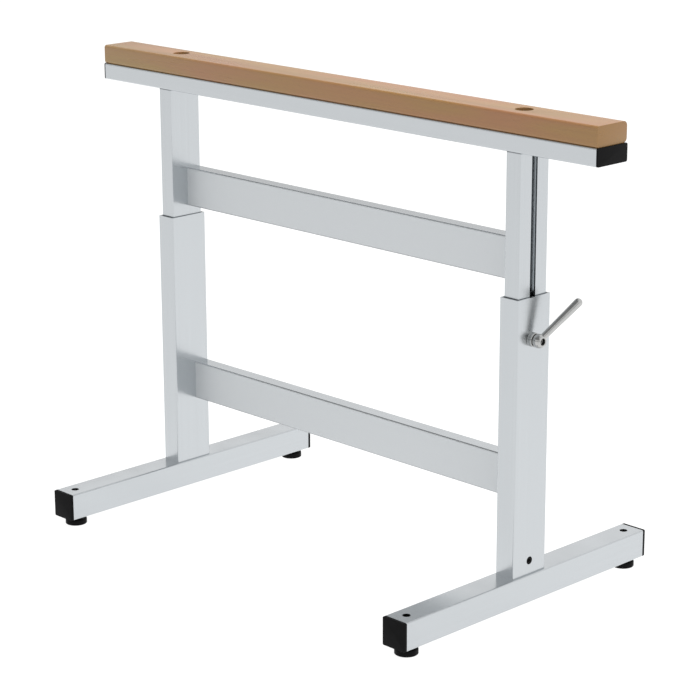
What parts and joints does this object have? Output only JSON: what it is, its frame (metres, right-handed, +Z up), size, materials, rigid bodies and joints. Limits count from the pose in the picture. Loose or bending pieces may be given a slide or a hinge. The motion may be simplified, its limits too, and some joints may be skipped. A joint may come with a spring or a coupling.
{
  "type": "trestle",
  "caption": "Height-adjustable aluminium trestle with a beech top bar, posts sliding in sleeves with clamp levers, cross rails, and T feet on levelling pads.",
  "frame": {"origin": "on the floor under the middle of the trestle", "axes": "+X along the top bar, +Y along the feet to the side of the cross rails, +Z up"},
  "size_m": [1.0034, 0.5076, 0.7078],
  "materials": {
    "anodised_aluminium": "satin anodised",
    "mill_aluminium": "plain sawn and milled",
    "beech": "planed and oiled",
    "black_plastic": "moulded, fine matt",
    "grey_nylon": "moulded, smooth",
    "zinc_steel": "bright zinc plated",
    "black_steel": "black oxide",
    "lever_steel": "fine turned and polished"
  },
  "bodies": {
    "base": {"foot_left": "anodised_aluminium", "foot_right": "anodised_aluminium", "foot_cap_left_front": "black_plastic", "foot_cap_left_back": "black_plastic", "foot_cap_right_front": "black_plastic", "foot_cap_right_back": "black_plastic", "sleeve_left": "anodised_aluminium", "sleeve_right": "anodised_aluminium", "sleeve_bush_left": "grey_nylon", "sleeve_bush_right": "grey_nylon", "base_block_left": "mill_aluminium", "base_block_right": "mill_aluminium", "base_bolts_left": "zinc_steel", "base_bolts_right": "zinc_steel", "base_screws": "black_steel", "lower_rail": "anodised_aluminium", "lower_spigot_left": "mill_aluminium", "lower_spigot_right": "mill_aluminium", "lower_screws_left": "zinc_steel", "lower_screws_right": "zinc_steel", "inserts_left": "zinc_steel", "inserts_right": "zinc_steel", "clamp_stud_left": "black_steel", "clamp_stud_right": "black_steel", "nut_plate_left": "zinc_steel", "nut_plate_right": "zinc_steel", "clamp_washer_left": "lever_steel", "clamp_washer_right": "lever_steel"},
    "upper_frame": {"inner_post_left": "anodised_aluminium", "inner_post_right": "anodised_aluminium", "slide_plug_left": "grey_nylon", "slide_plug_right": "grey_nylon", "upper_rail": "anodised_aluminium", "upper_spigot_left": "mill_aluminium", "upper_spigot_right": "mill_aluminium", "upper_screws_left": "zinc_steel", "upper_screws_right": "zinc_steel", "head_block_left": "mill_aluminium", "head_block_right": "mill_aluminium", "head_screws_left": "zinc_steel", "head_screws_right": "zinc_steel", "beam": "anodised_aluminium", "beam_cap_left": "black_plastic", "beam_cap_right": "black_plastic", "top_bar": "beech", "bar_bolt_left": "zinc_steel", "bar_bolt_right": "zinc_steel", "bar_washers": "zinc_steel", "bar_nuts": "zinc_steel"},
    "lever_left": {"clamp_lever_left": "lever_steel"},
    "lever_right": {"clamp_lever_right": "lever_steel"},
    "pad_left_front": {"pad_left_front": "black_plastic"},
    "spindle_left_front": {"spindle_left_front": "zinc_steel"},
    "pad_left_back": {"pad_left_back": "black_plastic"},
    "spindle_left_back": {"spindle_left_back": "zinc_steel"},
    "pad_right_front": {"pad_right_front": "black_plastic"},
    "spindle_right_front": {"spindle_right_front": "zinc_steel"},
    "pad_right_back": {"pad_right_back": "black_plastic"},
    "spindle_right_back": {"spindle_right_back": "zinc_steel"}
  },
  "joints": [
    {"name": "height_slide", "type": "slide", "parent": "base", "child": "upper_frame", "axis": [0, 0, 1], "range_m": [-0.014, 0.255]},
    {"name": "lever_left_turn", "type": "hinge", "parent": "base", "child": "lever_left", "pos_m": [-0.3572, 0, 0.3944], "axis": [-1, 0, 0], "range_deg": [0, 270]},
    {"name": "lever_right_turn", "type": "hinge", "parent": "base", "child": "lever_right", "pos_m": [0.3572, 0, 0.3944], "axis": [1, 0, 0], "range_deg": [0, 270]},
    {"name": "pad_left_front_slide", "type": "slide", "parent": "base", "child": "pad_left_front", "axis": [0, 0, -1], "range_m": [0, 0.0151]},
    {"name": "spindle_left_front_turn", "type": "hinge", "parent": "pad_left_front", "child": "spindle_left_front", "pos_m": [-0.3572, -0.229, 0], "axis": [0, 0, -1], "range_deg": [0, 3600]},
    {"name": "pad_left_back_slide", "type": "slide", "parent": "base", "child": "pad_left_back", "axis": [0, 0, -1], "range_m": [0, 0.0151]},
    {"name": "spindle_left_back_turn", "type": "hinge", "parent": "pad_left_back", "child": "spindle_left_back", "pos_m": [-0.3572, 0.229, 0], "axis": [0, 0, -1], "range_deg": [0, 3600]},
    {"name": "pad_right_front_slide", "type": "slide", "parent": "base", "child": "pad_right_front", "axis": [0, 0, -1], "range_m": [0, 0.0151]},
    {"name": "spindle_right_front_turn", "type": "hinge", "parent": "pad_right_front", "child": "spindle_right_front", "pos_m": [0.3572, -0.229, 0], "axis": [0, 0, -1], "range_deg": [0, 3600]},
    {"name": "pad_right_back_slide", "type": "slide", "parent": "base", "child": "pad_right_back", "axis": [0, 0, -1], "range_m": [0, 0.0151]},
    {"name": "spindle_right_back_turn", "type": "hinge", "parent": "pad_right_back", "child": "spindle_right_back", "pos_m": [0.3572, 0.229, 0], "axis": [0, 0, -1], "range_deg": [0, 3600]}
  ],
  "couplings": [
    {"joint": "pad_left_front_slide", "follows": "spindle_left_front_turn", "m_per_rad": 0.00023873},
    {"joint": "pad_left_back_slide", "follows": "spindle_left_back_turn", "m_per_rad": 0.00023873},
    {"joint": "pad_right_front_slide", "follows": "spindle_right_front_turn", "m_per_rad": 0.00023873},
    {"joint": "pad_right_back_slide", "follows": "spindle_right_back_turn", "m_per_rad": 0.00023873}
  ]
}
